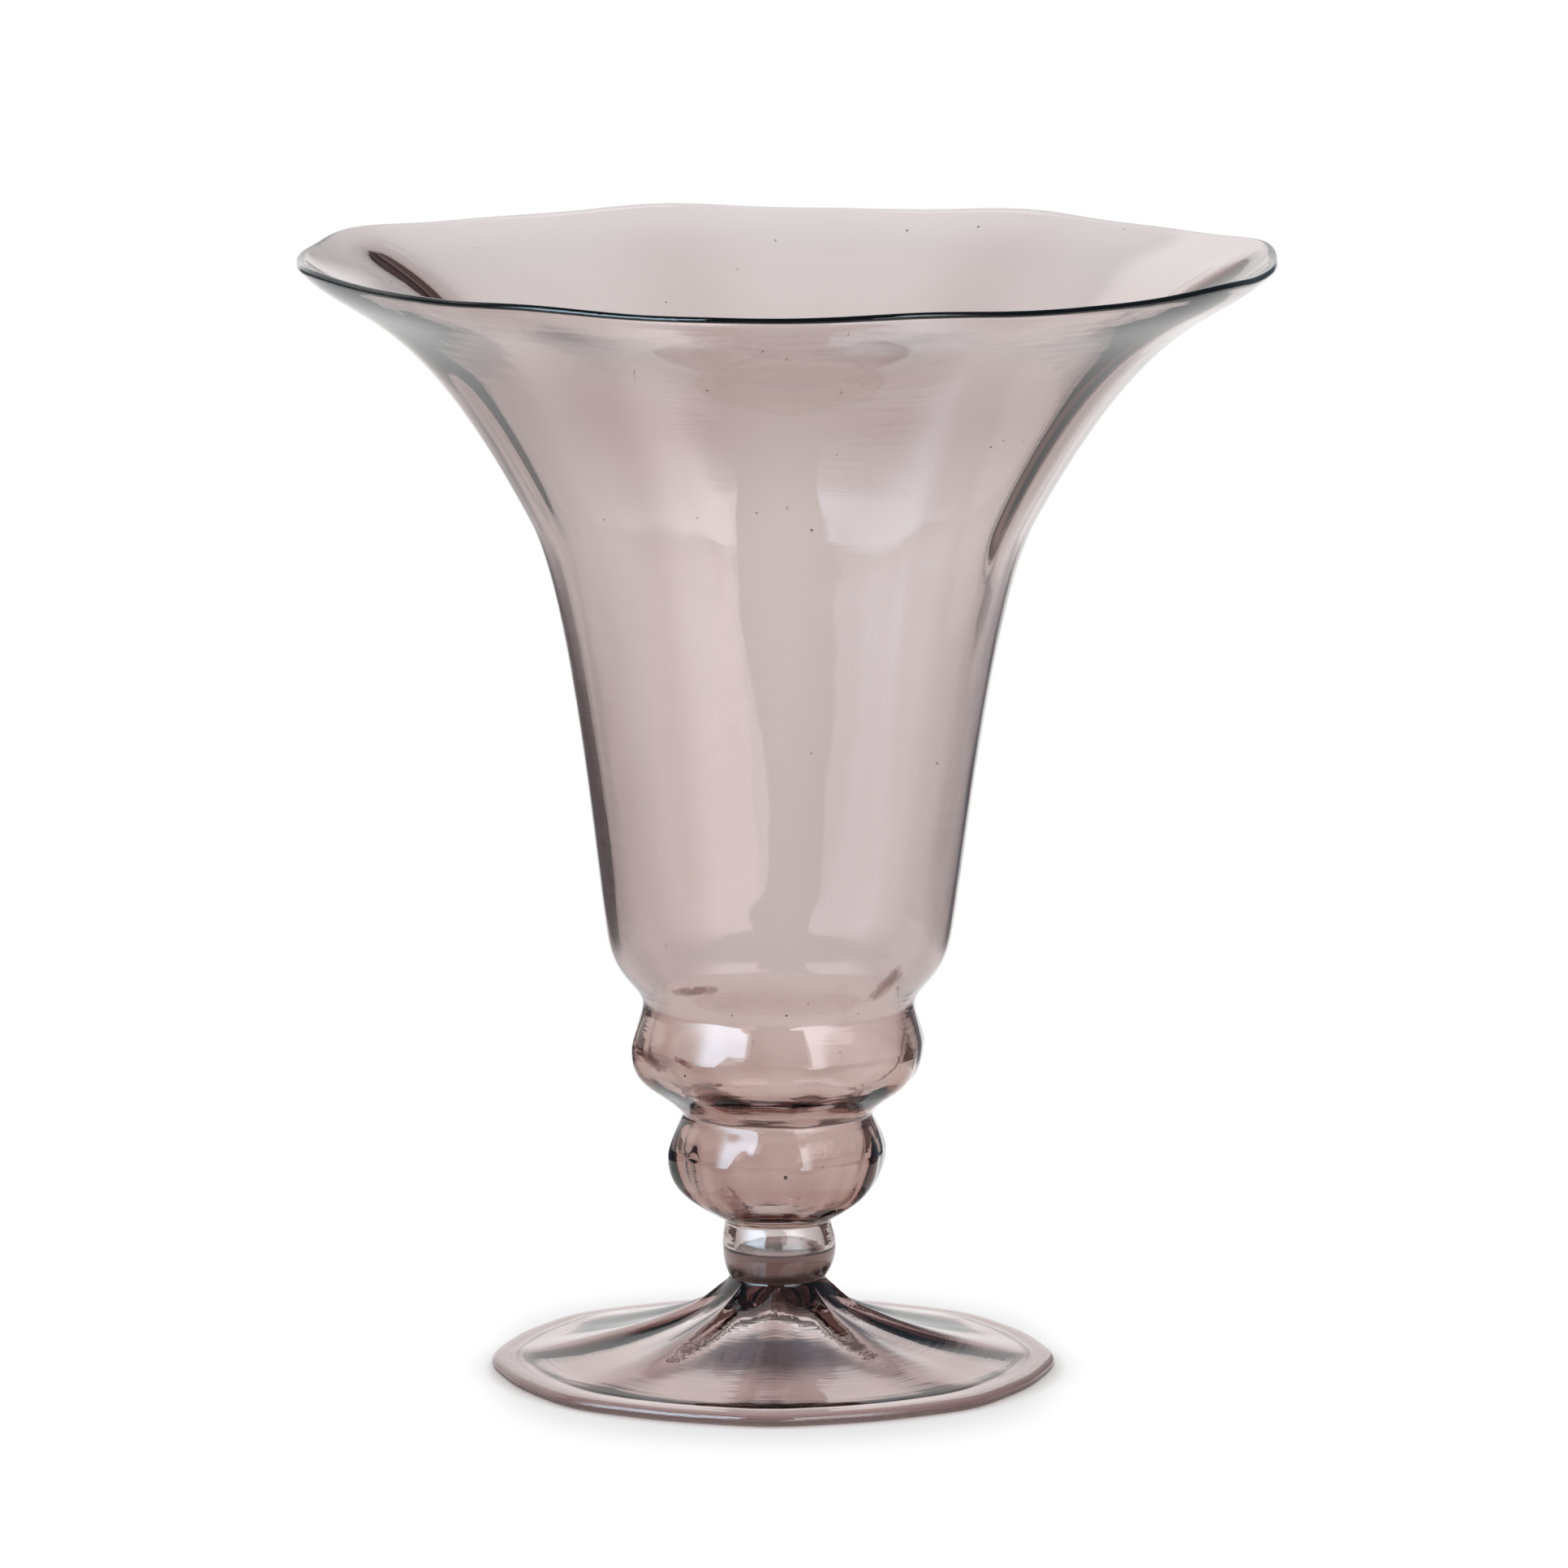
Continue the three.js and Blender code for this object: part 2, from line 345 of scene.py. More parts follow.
def blow_bell():
    waist = (BELL_WAIST_RADIUS, BELL_BOTTOM)
    tilt = math.radians(45)
    lip_radius = RIM_WALL / 2
    rim = (RIM_RADIUS, TOP - lip_radius * (1 + math.sin(tilt)))
    middle = (rim[0] - lip_radius * math.cos(tilt), TOP - lip_radius)
    rim_pull = (-20.3 * math.sin(tilt), -20.3 * math.cos(tilt))
    outer = chain(
        bend(waist, (1.5, 6), SHOULDER, (-2.1, -11.2), 22, "start"),
        bend(SHOULDER, (3.2, 16.6), THROAT, (-12.1, -22.1), 42),
        bend(THROAT, (32.2, 58.7), rim, rim_pull, 46),
    )
    outer = fill_groove(outer, BELL_BOTTOM, 0.25, BELL_FILL)
    inner = inside(outer, [0])[::-1]
    lip = []
    for step in range(1, 10):
        turn = step * math.pi / 10 - tilt
        lip.append(
            (middle[0] + lip_radius * math.cos(turn), middle[1] + lip_radius * math.sin(turn))
        )
    outline = [(r, z, 0.0) for r, z in outer]
    outline += [(r, z, (i + 1) / 10) for i, (r, z) in enumerate(lip)]
    outline += [(r, z, 1.0) for r, z in inner]

    def form(radius, height, angle, inner_side):
        share = bell_share(height)
        flare = share**4
        oval = 2.0 * math.cos(2 * (angle + math.radians(56)))
        three_sided = 2.0 * math.cos(3 * (angle - math.radians(29)))
        corner = rib_corner(angle)
        out = 1.5 * share * corner + flare * (oval + three_sided)
        up = 0.7 * flare * corner
        body = ease(share, 0.02, 0.25) * (1 - 0.6 * ease(share, 0.75, 1.0))
        flared = ease(share, 0.55, 0.82) * (1 - ease(share, 0.93, 1.0))
        rib = 0.45 * body * rib_crest(angle, 2.5) + 0.32 * flared * rib_crest(angle, 4)
        uneven = 0.16 * unevenness(angle, height, 2.4, 3.1)
        free = ease(share, 0.0, 0.05)
        skin = 0.035 * ripple(radius, height, angle, 16) * free
        swell = rib + fold_crest(angle, share) + uneven
        return out, up, inner_side * swell * free + skin * (1 - flared)

    wall = blow(outline, True, form)
    fuse(wall, BELL_BOTTOM, True)
    add_seeds(wall, 34, 0.3, 1.1, 5)
    return wall


def knop_form(bottom, height, deep):
    def form(radius, z, angle, inner_side):
        share = clamp((z - bottom) / height)
        near = min(radius / KNOP_WAIST_RADIUS, 1.0)
        swing = math.sin(math.pi * share)
        low = 1 + 1.2 * (1 - ease(share, 0.15, 0.6))
        out = 0.9 * near * swing * rib_corner(angle)
        uneven = rib_crest(angle, 2.5) * low + 0.5 * unevenness(angle, z, 1.6, 7.7)
        skin = 0.045 * ripple(radius, z, angle, 13)
        return out, 0.0, swing * (inner_side * deep * near * uneven + skin)

    return form


def blow_knop(outer, bottom, height, deep):
    """A hollow knop, open at both ends, from the outer side of its wall."""
    inner = inside(outer, [0, len(outer) - 1])[::-1]
    outline = [(r, z, 0.0) for r, z in outer] + [(r, z, 1.0) for r, z in inner]
    wall = blow(outline, True, knop_form(bottom, height, deep))
    fuse(wall, bottom, True)
    fuse(wall, bottom + height, False)
    return wall


def blow_upper_knop():
    waist, top = (KNOP_WAIST_RADIUS, UPPER_BOTTOM), (BELL_WAIST_RADIUS, BELL_BOTTOM)
    outer = chain(
        bend(waist, (6.9, 8.3), UPPER_BULGE, (0, -11.6), 30, "start"),
        bend(UPPER_BULGE, (0, 2.1), top, (1, -2), 16, "end"),
    )
    outer = fill_groove(outer, UPPER_BOTTOM, 0.83, KNOP_FILL)
    outer = fill_groove(outer, BELL_BOTTOM, 0.5, BELL_FILL)
    wall = blow_knop(outer, UPPER_BOTTOM, BELL_BOTTOM - UPPER_BOTTOM, 0.5)
    add_seeds(wall, 16, 0.26, 1.2, 17)
    return wall


def blow_lower_knop():
    waist, top = (BEAD_TOP_RADIUS, LOWER_BOTTOM), (KNOP_WAIST_RADIUS, UPPER_BOTTOM)
    outer = chain(
        bend(waist, (6.7, 4.1), LOWER_BULGE, (0, -10.8), 30, "start"),
        bend(LOWER_BULGE, (0, 2.3), top, (2.7, -3.5), 16, "end"),
    )
    outer = fill_groove(outer, LOWER_BOTTOM, 1.63, BEAD_FILL)
    outer = fill_groove(outer, UPPER_BOTTOM, 0.77, KNOP_FILL)
    wall = blow_knop(outer, LOWER_BOTTOM, UPPER_BOTTOM - LOWER_BOTTOM, 0.45)
    add_seeds(wall, 18, 0.3, 1.2, 29)
    return wall


def form_bead():
    collar, top = (COLLAR_RADIUS, BEAD_BOTTOM), (BEAD_TOP_RADIUS, LOWER_BOTTOM)
    outer = chain(
        bend(collar, (1.3, 1.6), BEAD_BULGE, (0, -4), 18, "start"),
        bend(BEAD_BULGE, (0, 3.5), top, (0.3, -1.4), 14, "end"),
    )
    outer = fill_groove(outer, BEAD_BOTTOM, 0.81, COLLAR_FILL)
    outer = fill_groove(outer, LOWER_BOTTOM, 0.21, BEAD_FILL)
    brim = (outer[-1][0] - wall_at(LOWER_BOTTOM), LOWER_BOTTOM)
    belly = (11.8, BEAD_BOTTOM + 8.3)
    floor = (11.1, BEAD_BOTTOM + 7.3)
    bowl = chain(
        bend(brim, (0.7, -2), belly, (0, 1.6), 12),
        bend(belly, (0, -0.5), floor, (0.4, 0.05), 8),
        bend(floor, (-5, -0.3), (0, BEAD_BOTTOM + BEAD_FLOOR), (4, 0), 16),
    )
    base = [(outer[0][0] * i / 8, BEAD_BOTTOM) for i in range(8)]
    outline = [(r, z, 0.0) for r, z in base + outer] + [(r, z, 1.0) for r, z in bowl]

    def form(radius, height, angle, inner_side):
        share = math.sin(math.pi * clamp((height - BEAD_BOTTOM) / (LOWER_BOTTOM - BEAD_BOTTOM)))
        near = clamp(radius / 9)
        uneven = 0.18 * unevenness(angle, height, 1.3, 11.0)
        return 0.0, 0.0, share * near * (uneven + 0.05 * ripple(radius, height, angle, 9))

    wall = blow(outline, False, form)
    fuse(wall, BEAD_BOTTOM, True)
    fuse(wall, LOWER_BOTTOM, False)
    add_seeds(wall, 34, 0.24, 1.3, 41)
    return wall


def press_foot():
    edge = (FOOT_RADIUS - FOOT_LIP, 2 * FOOT_LIP)
    collar = (COLLAR_RADIUS, BEAD_BOTTOM)
    upper = bend(edge, (-22.6, 2.2), collar, (9.5, -14.4), 84, "end")
    upper = fill_groove(upper, BEAD_BOTTOM, 0.53, COLLAR_FILL)
    rounded = []
    for step in range(14):
        turn = step * math.pi / 14 - math.pi / 2
        rounded.append(
            (edge[0] + FOOT_LIP * math.cos(turn), FOOT_LIP + FOOT_LIP * math.sin(turn))
        )
    ring = edge[0] - RING_WIDTH
    step_edge = (ring - RING_STEP, RING_STEP)
    under = bend((0, HOLLOW_HEIGHT), (8, 0), step_edge, (-31, 1.2), 60)
    joint = [(upper[-1][0] * i / 8, BEAD_BOTTOM) for i in range(7, -1, -1)]
    resting = [(ring + (edge[0] - ring) * i / 6, 0.0) for i in range(6)]
    outline = [(r, z, 1.0) for r, z in under]
    outline += [(r, z, 0.0) for r, z in resting + rounded + upper + joint]

    def form(radius, height, angle, inner_side):
        corner = rib_corner(angle, 0)
        out = 0.9 * (radius / FOOT_RADIUS) ** 3 * corner if radius > COLLAR_RADIUS else 0.0
        top_side = height > edge[1] - 0.01 and inner_side < 0.5
        if not top_side or radius < COLLAR_RADIUS - 0.6:
            return out, 0.0, 0.0
        drop = BEAD_BOTTOM - height
        span = clamp((radius - COLLAR_RADIUS) / (edge[0] - COLLAR_RADIUS))
        free = ease(drop, 0.1, 3.6)
        wedge = 0.6 * free * (1 - ease(drop, 4.0, 9.0)) * rib_crest(angle, 24, 0)
        flute = 0.7 * ease(drop, 0.5, 8.0) * (1 - ease(drop, 6.0, 16.0))
        flute *= rib_crest(angle, 3, 0) - 1
        ridge = 1.2 * ease(drop, 3.0, 12.0) * (1 - ease(span, 0.35, 0.95))
        ridge *= rib_crest(angle, 1.6, 0)
        dish = 0.3 * math.sin(math.pi * span) * corner
        groove = -0.3 * hump(radius, 69.5, 1.6)
        skin = 0.05 * free * ripple(radius, height, angle, 14)
        return out, 0.0, wedge + flute + ridge + dish + groove + skin

    wall = blow(outline, False, form)
    fuse(wall, BEAD_BOTTOM, False)
    return wall


# Materials


def number(nodes, links, kind, *feeds):
    """A Math node with each input linked or set."""
    node = nodes.new("ShaderNodeMath")
    node.operation = kind
    for socket, feed in zip(node.inputs, feeds):
        if isinstance(feed, (int, float)):
            socket.default_value = feed
        else:
            links.new(feed, socket)
    return node.outputs[0]


def ramp(nodes, links, feed, low, high, at_low=0.0, at_high=1.0):
    """Eases from at_low to at_high as feed goes from low to high."""
    node = nodes.new("ShaderNodeMapRange")
    node.interpolation_type = "SMOOTHSTEP"
    links.new(feed, node.inputs["Value"])
    for label, value in (
        ("From Min", low),
        ("From Max", high),
        ("To Min", at_low),
        ("To Max", at_high),
    ):
        if isinstance(value, (int, float)):
            node.inputs[label].default_value = value
        else:
            links.new(value, node.inputs[label])
    return node.outputs[0]


def blend_colours(nodes, links, share, first, second):
    node = nodes.new("ShaderNodeMix")
    node.data_type = "RGBA"
    sockets = (node.inputs[0], node.inputs[6], node.inputs[7])
    for socket, feed in zip(sockets, (share, first, second)):
        if isinstance(feed, tuple):
            socket.default_value = (*feed, 1)
        elif isinstance(feed, (int, float)):
            socket.default_value = feed
        else:
            links.new(feed, socket)
    return node.outputs[2]


def noise_at(nodes, links, place, stretch, scale, detail=2.0, distortion=0.0):
    """Noise on the piece's own coordinates, drawn out along an axis where stretch is small."""
    turned = nodes.new("ShaderNodeMapping")
    turned.inputs["Scale"].default_value = stretch
    links.new(place, turned.inputs["Vector"])
    node = nodes.new("ShaderNodeTexNoise")
    node.inputs["Scale"].default_value = scale
    node.inputs["Detail"].default_value = detail
    node.inputs["Distortion"].default_value = distortion
    links.new(turned.outputs[0], node.inputs["Vector"])
    return node.outputs["Fac"]


def new_group(name, inputs, outputs):
    """A node group with number inputs and their first values, and outputs with their kinds."""
    group = bpy.data.node_groups.new(name, "ShaderNodeTree")
    for label, value in inputs:
        socket = group.interface.new_socket(label, in_out="INPUT", socket_type="NodeSocketFloat")
        socket.default_value = value
    for label, kind in outputs:
        group.interface.new_socket(label, in_out="OUTPUT", socket_type=kind)
    start = group.nodes.new("NodeGroupInput")
    end = group.nodes.new("NodeGroupOutput")
    place = group.nodes.new("ShaderNodeTexCoord").outputs["Object"]
    return group, group.nodes, group.links, start, end, place


def wind_round(nodes, links, place, finely, slowly):
    """The foot's own coordinates: distance from its middle, and the way round."""
    split = nodes.new("ShaderNodeSeparateXYZ")
    links.new(place, split.inputs[0])
    aside = number(nodes, links, "ADD", split.outputs[0], LEAN_RIGHT * MM)
    across = (aside, split.outputs[1])
    flat = nodes.new("ShaderNodeCombineXYZ")
    for i in (0, 1):
        links.new(across[i], flat.inputs[i])
    length = nodes.new("ShaderNodeVectorMath")
    length.operation = "LENGTH"
    links.new(flat.outputs[0], length.inputs[0])
    away = length.outputs["Value"]
    wound = nodes.new("ShaderNodeCombineXYZ")
    links.new(number(nodes, links, "MULTIPLY", away, finely), wound.inputs[0])
    for i in (0, 1):
        share = number(nodes, links, "DIVIDE", across[i], away)
        links.new(number(nodes, links, "MULTIPLY", share, slowly), wound.inputs[1 + i])
    return wound.outputs[0]


def make_blown_skin():
    """Height of the fine cords that run round the glass, of its slow ripples, and of the fine rings
    that the shaping left on the foot."""
    group, nodes, links, start, end, place = new_group(
        "blown_skin",
        (("Cords", 0.5), ("Ripples", 0.5), ("Rings", 0.0)),
        (("Height", "NodeSocketFloat"),),
    )
    broad = noise_at(nodes, links, place, (1, 1, 14), 22, 2.0, 0.6)
    fine = noise_at(nodes, links, place, (1, 1, 40), 25, 1.0, 0.3)
    cords = number(nodes, links, "MULTIPLY_ADD", fine, 0.5, broad)
    ripples = noise_at(nodes, links, place, (1, 1, 0.8), 110, 1.5)
    high = number(
        nodes,
        links,
        "ADD",
        number(nodes, links, "MULTIPLY", cords, start.outputs["Cords"]),
        number(nodes, links, "MULTIPLY", ripples, start.outputs["Ripples"]),
    )
    rings = nodes.new("ShaderNodeTexNoise")
    rings.inputs["Scale"].default_value = 1
    rings.inputs["Detail"].default_value = 1.5
    links.new(wind_round(nodes, links, place, 700, 1.2), rings.inputs["Vector"])
    high = number(nodes, links, "MULTIPLY_ADD", rings.outputs["Fac"], start.outputs["Rings"], high)
    links.new(high, end.inputs["Height"])
    return group


# Brown streaks in the glass: middle x and z, tilt, half length and half width in millimetres
STREAKS = (
    (-24, 109.5, 0.2, 5.5, 1.3),
    (26, 110.5, 0.8, 6.5, 1.4),
    (-35, 87, -0.5, 3.6, 1.6),
    (-27, 88.5, -0.3, 2.2, 0.8),
)


def streak_mask(nodes, links, spot, ragged):
    """How strong the brown streaks are, all on the front of the glass."""
    x, y, z = spot.outputs
    ahead = ramp(nodes, links, y, -0.015, -0.005, 1.0, 0.0)
    shares = 0.0
    for across, high, tilt, length, width in STREAKS:
        side = number(nodes, links, "SUBTRACT", x, across * MM)
        rise = number(nodes, links, "SUBTRACT", z, high * MM)
        near = 0.0
        for turn, half in ((tilt, length), (tilt + math.pi / 2, width)):
            part = number(
                nodes,
                links,
                "ADD",
                number(nodes, links, "MULTIPLY", side, math.cos(turn) / (half * MM)),
                number(nodes, links, "MULTIPLY", rise, math.sin(turn) / (half * MM)),
            )
            near = number(nodes, links, "MULTIPLY_ADD", part, part, near)
        share = ramp(nodes, links, number(nodes, links, "ADD", near, ragged), 0.3, 1.3, 0.8, 0.0)
        shares = number(nodes, links, "MAXIMUM", share, shares)
    return number(nodes, links, "MULTIPLY", ahead, shares)


def make_surface_marks():
    """Specks caught in the skin, the haze of long use, the brown streaks, and the rubbed ring that
    the foot rests on."""
    group, nodes, links, start, end, place = new_group(
        "surface_marks",
        (("Specks", 0.5), ("Haze", 0.5)),
        (("Colour", "NodeSocketColor"), ("Roughness", "NodeSocketFloat")),
    )
    cells = nodes.new("ShaderNodeTexVoronoi")
    cells.inputs["Scale"].default_value = 150
    links.new(place, cells.inputs["Vector"])
    chance = nodes.new("ShaderNodeSeparateColor")
    links.new(cells.outputs["Color"], chance.inputs[0])
    size = number(
        nodes,
        links,
        "MULTIPLY",
        ramp(nodes, links, chance.outputs[0], 0.86, 1.0, 0.0, 0.075),
        start.outputs["Specks"],
    )
    speck = number(nodes, links, "LESS_THAN", cells.outputs["Distance"], size)
    clouds = noise_at(nodes, links, place, (1, 1, 1), 30, 5.0, 0.4)
    streaks = noise_at(nodes, links, place, (1, 1, 9), 60, 4.0)
    worn = number(
        nodes,
        links,
        "MULTIPLY",
        ramp(nodes, links, clouds, 0.5, 0.75),
        ramp(nodes, links, streaks, 0.45, 0.7),
    )
    haze = number(nodes, links, "MULTIPLY", worn, start.outputs["Haze"])
    spot = nodes.new("ShaderNodeSeparateXYZ")
    links.new(place, spot.inputs[0])
    rubbed = ramp(nodes, links, spot.outputs[2], 0.0005, 0.0024, 0.8, 0.0)
    dull = number(nodes, links, "MULTIPLY", haze, 0.12)
    dulled = blend_colours(nodes, links, dull, (1.0, 1.0, 1.0), (0.8, 0.74, 0.66))
    grain = noise_at(nodes, links, place, (1, 1, 1), 300, 3.0)
    streak = streak_mask(nodes, links, spot, ramp(nodes, links, grain, 0.3, 0.7, -0.6, 0.6))
    stained = blend_colours(nodes, links, streak, dulled, (0.3, 0.15, 0.13))
    colour = blend_colours(nodes, links, speck, stained, (0.02, 0.01, 0.01))
    links.new(colour, end.inputs["Colour"])
    links.new(number(nodes, links, "MAXIMUM", dull, rubbed), end.inputs["Roughness"])
    return group


blown_skin = make_blown_skin()
surface_marks = make_surface_marks()


def place_group(nodes, group, **values):
    node = nodes.new("ShaderNodeGroup")
    node.node_tree = group
    for label, value in values.items():
        node.inputs[label].default_value = value
    return node


def absorb(nodes, links, out, tint):
    colour, density = tint
    inner = nodes.new("ShaderNodeVolumeAbsorption")
    inner.inputs["Color"].default_value = (*colour, 1)
    inner.inputs["Density"].default_value = density
    links.new(inner.outputs[0], out.inputs["Volume"])


def glass_material(name, tint, cords, ripples, specks, haze, rings=0.0):
    """Coloured glass: a clear Principled surface, tinted by how far light goes inside it. Light
    goes straight through the faces of a fused joint."""
    material = bpy.data.materials.new(name)
    material.use_nodes = True
    nodes, links = material.node_tree.nodes, material.node_tree.links
    nodes.clear()
    out = nodes.new("ShaderNodeOutputMaterial")
    glass = nodes.new("ShaderNodeBsdfPrincipled")
    glass.inputs["Transmission Weight"].default_value = 1
    glass.inputs["IOR"].default_value = 1.5
    marks = place_group(nodes, surface_marks, Specks=specks, Haze=haze)
    links.new(marks.outputs["Colour"], glass.inputs["Base Color"])
    links.new(marks.outputs["Roughness"], glass.inputs["Roughness"])
    skin = place_group(nodes, blown_skin, Cords=cords, Ripples=ripples, Rings=rings)
    bump = nodes.new("ShaderNodeBump")
    bump.inputs["Strength"].default_value = 1
    bump.inputs["Distance"].default_value = 0.0002
    links.new(skin.outputs["Height"], bump.inputs["Height"])
    links.new(bump.outputs[0], glass.inputs["Normal"])
    passing = nodes.new("ShaderNodeBsdfTransparent")
    passing.inputs["Color"].default_value = (0.9, 0.86, 0.85, 1)
    path = nodes.new("ShaderNodeLightPath")
    mix = nodes.new("ShaderNodeMixShader")
    links.new(path.outputs["Is Shadow Ray"], mix.inputs[0])
    links.new(glass.outputs[0], mix.inputs[1])
    links.new(passing.outputs[0], mix.inputs[2])
    joint = nodes.new("ShaderNodeAttribute")
    joint.attribute_name = "joint"
    clear = nodes.new("ShaderNodeBsdfTransparent")
    fused = nodes.new("ShaderNodeMixShader")
    links.new(joint.outputs["Fac"], fused.inputs[0])
    links.new(mix.outputs[0], fused.inputs[1])
    links.new(clear.outputs[0], fused.inputs[2])
    links.new(fused.outputs[0], out.inputs["Surface"])
    absorb(nodes, links, out, tint)
    return material


# Absorption per metre is density times one less the colour
BELL_TINT = ((0.36, 0.15, 0.11), 172)
KNOP_TINT = ((0.42, 0.14, 0.06), 165)
BEAD_TINT = ((0.42, 0.26, 0.22), 118)
FOOT_TINT = ((0.41, 0.16, 0.13), 235)

bell_glass = glass_material("bell_glass", BELL_TINT, 0.08, 0.12, 0.8, 0.9)
knop_glass = glass_material("knop_glass", KNOP_TINT, 0.3, 0.25, 1.1, 0.7)
bead_glass = glass_material("bead_glass", BEAD_TINT, 0.3, 0.25, 1.6, 0.8)
foot_glass = glass_material("foot_glass", FOOT_TINT, 0.3, 0.2, 1.0, 1.2, rings=0.2)

finish_piece("bell_bowl_glass", blow_bell(), "bell_bowl", bell_glass)
finish_piece("upper_knop_glass", blow_upper_knop(), "upper_knop", knop_glass)
finish_piece("lower_knop_glass", blow_lower_knop(), "lower_knop", knop_glass)
finish_piece("neck_bead_glass", form_bead(), "neck_bead", bead_glass)
finish_piece("foot_glass", press_foot(), "foot", foot_glass)


# Studio

# What the glass mirrors away from the lit background
DARK = (0.14, 0.175, 0.21)
DARK_INSIDE = (0.18, 0.12, 0.11)
DARK_THROUGH = (0.2, 0.17, 0.165)
WHITE = (1.0, 1.0, 1.0)

# Soft boxes in front: colour, inner edge low down and high up, in degrees to the right of the
# camera, then peak, far edge and strength, each seen direct and seen through glass
LEFT_BOX = ((6.8, 8.9, 10.7), -30, -25, (-50, -64), (-96, -110), (1.0, 0.5))
RIGHT_BOX = ((4.9, 5.1, 5.4), 7, 18, (32, 42), (66, 105), (1.05, 0.98))
BOX_LOW = (-0.06, -0.02)
EDGE_SHARE = 0.92

# Sine of the top edge's rise, seen direct and through glass
BOX_TOP = 0.68
BOX_TOP_THROUGH = 0.76


def soft_box(nodes, links, aside, z, was_through, box):
    """One soft box as a colour by direction: a sharp inner edge, a peak and a slow fade."""
    colour, low_edge, high_edge, peaks, ends, strengths = box
    side = 1 if low_edge > 0 else -1
    turned = number(nodes, links, "MULTIPLY", aside, side)
    inner_edges = (math.radians(side * value) for value in (low_edge, high_edge))
    edge = ramp(nodes, links, z, 0.1, 0.3, *inner_edges)
    peak, end = (
        ramp(nodes, links, was_through, 0, 1, *(math.radians(side * value) for value in pair))
        for pair in (peaks, ends)
    )
    past_edge = number(nodes, links, "SUBTRACT", turned, edge)
    share = ramp(nodes, links, past_edge, 0.0, math.radians(2))
    for factor in (
        ramp(nodes, links, turned, edge, peak, EDGE_SHARE, 1.0),
        ramp(nodes, links, turned, peak, end, 1.0, 0.0),
        ramp(nodes, links, was_through, 0, 1, *strengths),
    ):
        share = number(nodes, links, "MULTIPLY", share, factor)
    return blend_colours(nodes, links, share, (0.0, 0.0, 0.0), colour)


def add_colours(nodes, links, first, second, share):
    node = nodes.new("ShaderNodeMix")
    node.data_type = "RGBA"
    node.blend_type = "ADD"
    node.clamp_result = False
    for i, feed in ((0, share), (6, first), (7, second)):
        links.new(feed, node.inputs[i])
    return node.outputs[2]


def studio_colours(nodes, links, direction, was_through):
    """What the studio looks like in a direction: seen through glass, and as a reflection."""
    split = nodes.new("ShaderNodeSeparateXYZ")
    links.new(direction, split.inputs[0])
    x, y, z = split.outputs
    low = ramp(nodes, links, z, 0.12, 0.26, 1.0, 0.0)
    through = blend_colours(nodes, links, low, DARK_THROUGH, WHITE)
    aside = number(nodes, links, "ARCTAN2", x, number(nodes, links, "MULTIPLY", y, -1.0))
    aback = number(nodes, links, "ARCTAN2", x, y)
    left_end = ramp(nodes, links, z, 0.0, 0.08, math.radians(-21), math.radians(-75))
    right_end = ramp(nodes, links, z, 0.0, 0.08, math.radians(18), math.radians(10))
    past_left = number(nodes, links, "SUBTRACT", aback, left_end)
    past_right = number(nodes, links, "SUBTRACT", aback, right_end)
    behind = number(
        nodes,
        links,
        "MULTIPLY",
        ramp(nodes, links, past_left, 0.0, math.radians(8)),
        ramp(nodes, links, past_right, math.radians(-3), math.radians(3), 1.0, 0.0),
    )
    table = ramp(nodes, links, z, -0.35, -0.22, 1.0, 0.0)
    tall = ramp(nodes, links, z, 0.56, 0.64, 1.0, 0.0)
    white = number(nodes, links, "MAXIMUM", table, number(nodes, links, "MULTIPLY", tall, behind))
    dark = blend_colours(nodes, links, was_through, DARK, DARK_INSIDE)
    mirrored = blend_colours(nodes, links, white, dark, WHITE)
    top = ramp(nodes, links, was_through, 0, 1, BOX_TOP, BOX_TOP_THROUGH)
    over = number(nodes, links, "SUBTRACT", z, top)
    level = number(
        nodes,
        links,
        "MULTIPLY",
        ramp(nodes, links, z, *BOX_LOW),
        ramp(nodes, links, over, -0.04, 0.04, 1.0, 0.0),
    )
    for box in (LEFT_BOX, RIGHT_BOX):
        lit = soft_box(nodes, links, aside, z, was_through, box)
        mirrored = add_colours(nodes, links, mirrored, lit, level)
    return through, mirrored


def light_the_studio():
    world = bpy.data.worlds.new("studio")
    bpy.context.scene.world = world
    world.use_nodes = True
    nodes, links = world.node_tree.nodes, world.node_tree.links
    nodes.clear()
    out = nodes.new("ShaderNodeOutputWorld")
    sky = nodes.new("ShaderNodeBackground")
    place = nodes.new("ShaderNodeTexCoord")
    path = nodes.new("ShaderNodeLightPath")
    was_mirrored = number(nodes, links, "GREATER_THAN", path.outputs["Glossy Depth"], 0.5)
    was_through = number(nodes, links, "GREATER_THAN", path.outputs["Transmission Depth"], 0.5)
    through, mirrored = studio_colours(nodes, links, place.outputs["Generated"], was_through)
    was_matt = number(nodes, links, "GREATER_THAN", path.outputs["Diffuse Depth"], 0.5)
    colour = blend_colours(nodes, links, was_through, WHITE, through)
    colour = blend_colours(nodes, links, was_mirrored, colour, mirrored)
    colour = blend_colours(nodes, links, was_matt, colour, WHITE)
    links.new(colour, sky.inputs["Color"])
    sky.inputs["Strength"].default_value = 1
    links.new(sky.outputs[0], out.inputs["Surface"])


# Distances from the foot's middle, in metres: where a shadow is painted on the table round the
# foot, where it turns plain white, and where a painted shadow darkens it as seen through the foot
TABLE_RADIUS = 0.3
PAINTED_SHADOW_START = 0.072
PAINTED_SHADOW_END_ASIDE = 0.085
PAINTED_SHADOW_END_AHEAD = 0.112
TURNS_WHITE = (0.0755, 0.079)
UNDER_FOOT = (0.052, 0.066)
UNDER_COLLAR = (0.01, 0.042)
# Colours of the shadow painted on the table under the foot and under the collar, seen through the
# glass
FOOT_SHADOW_PAINT = (0.74, 0.66, 0.65)
COLLAR_SHADOW_PAINT = (0.16, 0.15, 0.17)


